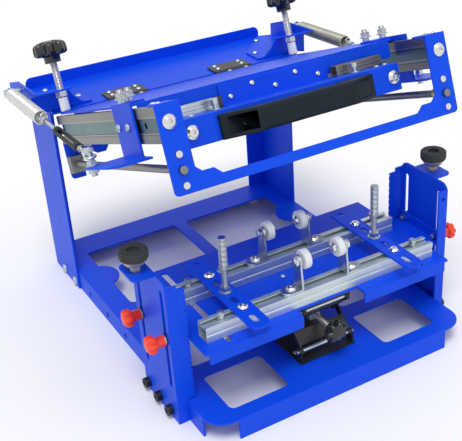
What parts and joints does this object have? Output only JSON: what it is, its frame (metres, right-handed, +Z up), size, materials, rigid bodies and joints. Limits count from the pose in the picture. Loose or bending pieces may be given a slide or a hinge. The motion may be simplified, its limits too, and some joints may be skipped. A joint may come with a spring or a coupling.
{
  "type": "tabletop screen printing press",
  "caption": "Tabletop screen printing press: bent-sheet base, tilting sprung head with sliding screen frame, and a height-adjustable table with roller supports on rails.",
  "frame": {"origin": "centre of the bounding box's footprint, on the plane that the base stands on", "axes": "+X to the operator's right, +Y from the operator to the rear posts, +Z up"},
  "size_m": [0.5329, 0.57, 0.4495],
  "materials": {
    "blue_paint": "satin royal-blue powder coat",
    "zinc": "bluish bright zinc plating",
    "steel": "plain ground steel",
    "chrome": "polished",
    "black_metal": "black coat",
    "black_plastic": "glossy black",
    "slate_plastic": "matte slate black",
    "red_plastic": "orange red",
    "white_nylon": "off-white",
    "rubber": "matte dark grey",
    "tan_metal": "yellowish zinc plating"
  },
  "bodies": {
    "base": {"base_plate": "blue_paint", "rear_posts": "blue_paint", "bridge": "blue_paint", "stop_brackets": "blue_paint", "base_fasteners": "zinc", "hinge_leaves": "black_metal", "columns": "blue_paint", "column_bolts": "black_metal", "bumper_cups": "tan_metal", "bumper_pads": "rubber", "jack_base": "black_metal"},
    "head": {"head_plate": "blue_paint", "side_brackets": "blue_paint", "head_fasteners": "zinc", "moving_leaves": "black_metal", "handle_plate": "blue_paint", "plate_screws": "chrome", "handle": "slate_plastic", "holder_rails": "zinc", "inner_slides": "steel"},
    "left_pull": {"left_spring_bush": "zinc", "left_spring": "chrome"},
    "right_pull": {"right_spring_bush": "zinc", "right_spring": "chrome"},
    "left_link": {"left_turnbuckle": "zinc"},
    "right_link": {"right_turnbuckle": "zinc"},
    "left_stop": {"left_stop_screw": "chrome", "left_stop_knob": "black_plastic"},
    "right_stop": {"right_stop_screw": "chrome", "right_stop_knob": "black_plastic"},
    "carriage": {"front_frame": "blue_paint", "outer_slides": "steel", "rear_frame": "blue_paint", "guide_rods": "steel", "bushings": "zinc", "frame_screws": "chrome", "rod_blocks": "steel"},
    "table": {"table": "blue_paint", "rails": "zinc", "cross_plates": "blue_paint", "table_screws": "chrome", "table_fasteners": "zinc", "roller_brackets": "zinc", "jack_head": "black_metal"},
    "front_left_roller": {"front_left_roller": "white_nylon"},
    "front_right_roller": {"front_right_roller": "white_nylon"},
    "rear_left_roller": {"rear_left_roller": "white_nylon"},
    "rear_right_roller": {"rear_right_roller": "white_nylon"},
    "front_left_clamp": {"front_left_clamp": "red_plastic"},
    "rear_left_clamp": {"rear_left_clamp": "red_plastic"},
    "front_right_clamp": {"front_right_clamp": "red_plastic"},
    "rear_right_clamp": {"rear_right_clamp": "red_plastic"},
    "jack_front_lower": {"jack_front_lower": "black_metal"},
    "jack_rear_lower": {"jack_rear_lower": "black_metal"},
    "jack_front_upper": {"jack_front_upper": "black_metal"},
    "jack_rear_upper": {"jack_rear_upper": "black_metal"},
    "jack_screw": {"jack_spindle": "steel"},
    "jack_front_block": {"jack_front_block": "zinc"},
    "jack_rear_block": {"jack_rear_block": "zinc"},
    "jack_star": {"jack_star": "black_plastic"}
  },
  "joints": [
    {"name": "head_tilt", "type": "hinge", "parent": "base", "child": "head", "pos_m": [0, 0.16, 0.318], "axis": [1, 0, 0], "range_deg": [0, 20], "stiffness_Nm_per_rad": 20, "springref_deg": -63.03},
    {"name": "left_pull_turn", "type": "hinge", "parent": "base", "child": "left_pull", "pos_m": [-0.256, 0.22, 0.343], "axis": [1, 0, 0], "range_deg": [0, 16.5]},
    {"name": "left_pull_stretch", "type": "slide", "parent": "left_pull", "child": "left_link", "axis": [0, -0.9985, 0.0544], "range_m": [0, 0.0076], "deforming": ["left_spring"]},
    {"name": "right_pull_turn", "type": "hinge", "parent": "base", "child": "right_pull", "pos_m": [0.256, 0.22, 0.343], "axis": [1, 0, 0], "range_deg": [0, 16.5]},
    {"name": "right_pull_stretch", "type": "slide", "parent": "right_pull", "child": "right_link", "axis": [0, -0.9985, 0.0544], "range_m": [0, 0.0076], "deforming": ["right_spring"]},
    {"name": "left_stop_turn", "type": "hinge", "parent": "base", "child": "left_stop", "pos_m": [-0.1985, 0.14402, 0.32381], "axis": [0, 0.342, 0.9397], "continuous": true},
    {"name": "right_stop_turn", "type": "hinge", "parent": "base", "child": "right_stop", "pos_m": [0.1985, 0.14402, 0.32381], "axis": [0, 0.342, 0.9397], "continuous": true},
    {"name": "carriage_slide", "type": "slide", "parent": "head", "child": "carriage", "axis": [0, -0.9397, 0.342], "range_m": [0, 0.18]},
    {"name": "table_lift", "type": "slide", "parent": "base", "child": "table", "axis": [0, 0, 1], "range_m": [-0.016, 0.002]},
    {"name": "front_left_roller_spin", "type": "hinge", "parent": "table", "child": "front_left_roller", "pos_m": [-0.027, -0.223, 0.1925], "axis": [1, 0, 0], "continuous": true},
    {"name": "front_right_roller_spin", "type": "hinge", "parent": "table", "child": "front_right_roller", "pos_m": [0.027, -0.223, 0.1925], "axis": [1, 0, 0], "continuous": true},
    {"name": "rear_left_roller_spin", "type": "hinge", "parent": "table", "child": "rear_left_roller", "pos_m": [-0.027, -0.131, 0.1925], "axis": [1, 0, 0], "continuous": true},
    {"name": "rear_right_roller_spin", "type": "hinge", "parent": "table", "child": "rear_right_roller", "pos_m": [0.027, -0.131, 0.1925], "axis": [1, 0, 0], "continuous": true},
    {"name": "front_left_clamp_turn", "type": "hinge", "parent": "table", "child": "front_left_clamp", "pos_m": [-0.229, -0.202, 0.132], "axis": [1, 0, 0], "continuous": true},
    {"name": "rear_left_clamp_turn", "type": "hinge", "parent": "table", "child": "rear_left_clamp", "pos_m": [-0.229, -0.13, 0.132], "axis": [1, 0, 0], "continuous": true},
    {"name": "front_right_clamp_turn", "type": "hinge", "parent": "table", "child": "front_right_clamp", "pos_m": [0.229, -0.198, 0.132], "axis": [1, 0, 0], "continuous": true},
    {"name": "rear_right_clamp_turn", "type": "hinge", "parent": "table", "child": "rear_right_clamp", "pos_m": [0.229, -0.126, 0.132], "axis": [1, 0, 0], "continuous": true},
    {"name": "jack_front_lower_pivot", "type": "hinge", "parent": "base", "child": "jack_front_lower", "pos_m": [0, -0.229, 0.05], "axis": [1, 0, 0], "range_deg": [-13.71, 1.71]},
    {"name": "jack_rear_lower_pivot", "type": "hinge", "parent": "base", "child": "jack_rear_lower", "pos_m": [0, -0.125, 0.05], "axis": [1, 0, 0], "range_deg": [-1.71, 13.71]},
    {"name": "jack_front_upper_pivot", "type": "hinge", "parent": "table", "child": "jack_front_upper", "pos_m": [0, -0.229, 0.114], "axis": [1, 0, 0], "range_deg": [-1.71, 13.71]},
    {"name": "jack_rear_upper_pivot", "type": "hinge", "parent": "table", "child": "jack_rear_upper", "pos_m": [0, -0.125, 0.114], "axis": [1, 0, 0], "range_deg": [-13.71, 1.71]},
    {"name": "jack_screw_rise", "type": "slide", "parent": "base", "child": "jack_screw", "axis": [0, 0, 1], "range_m": [-0.0081, 0.0011]},
    {"name": "jack_front_block_travel", "type": "slide", "parent": "jack_screw", "child": "jack_front_block", "axis": [0, 1, 0], "range_m": [-0.00086, 0.00685]},
    {"name": "jack_rear_block_travel", "type": "slide", "parent": "jack_screw", "child": "jack_rear_block", "axis": [0, 1, 0], "range_m": [-0.00685, 0.00086]},
    {"name": "jack_star_turn", "type": "hinge", "parent": "jack_screw", "child": "jack_star", "pos_m": [0, -0.249, 0.082], "axis": [0, 1, 0], "continuous": true}
  ],
  "couplings": [
    {"joint": "left_pull_turn", "follows": "head_tilt", "ratio": 0.8125},
    {"joint": "right_pull_turn", "follows": "head_tilt", "ratio": 0.8125},
    {"joint": "left_pull_stretch", "follows": "head_tilt", "m_per_rad": 0.0211},
    {"joint": "right_pull_stretch", "follows": "head_tilt", "m_per_rad": 0.0211},
    {"joint": "jack_front_lower_pivot", "follows": "table_lift", "rad_per_m": 14.66},
    {"joint": "jack_rear_lower_pivot", "follows": "table_lift", "rad_per_m": -14.66},
    {"joint": "jack_front_upper_pivot", "follows": "table_lift", "rad_per_m": -14.66},
    {"joint": "jack_rear_upper_pivot", "follows": "table_lift", "rad_per_m": 14.66},
    {"joint": "jack_screw_rise", "follows": "table_lift", "ratio": 0.5},
    {"joint": "jack_front_block_travel", "follows": "table_lift", "ratio": -0.42},
    {"joint": "jack_rear_block_travel", "follows": "table_lift", "ratio": 0.42}
  ]
}
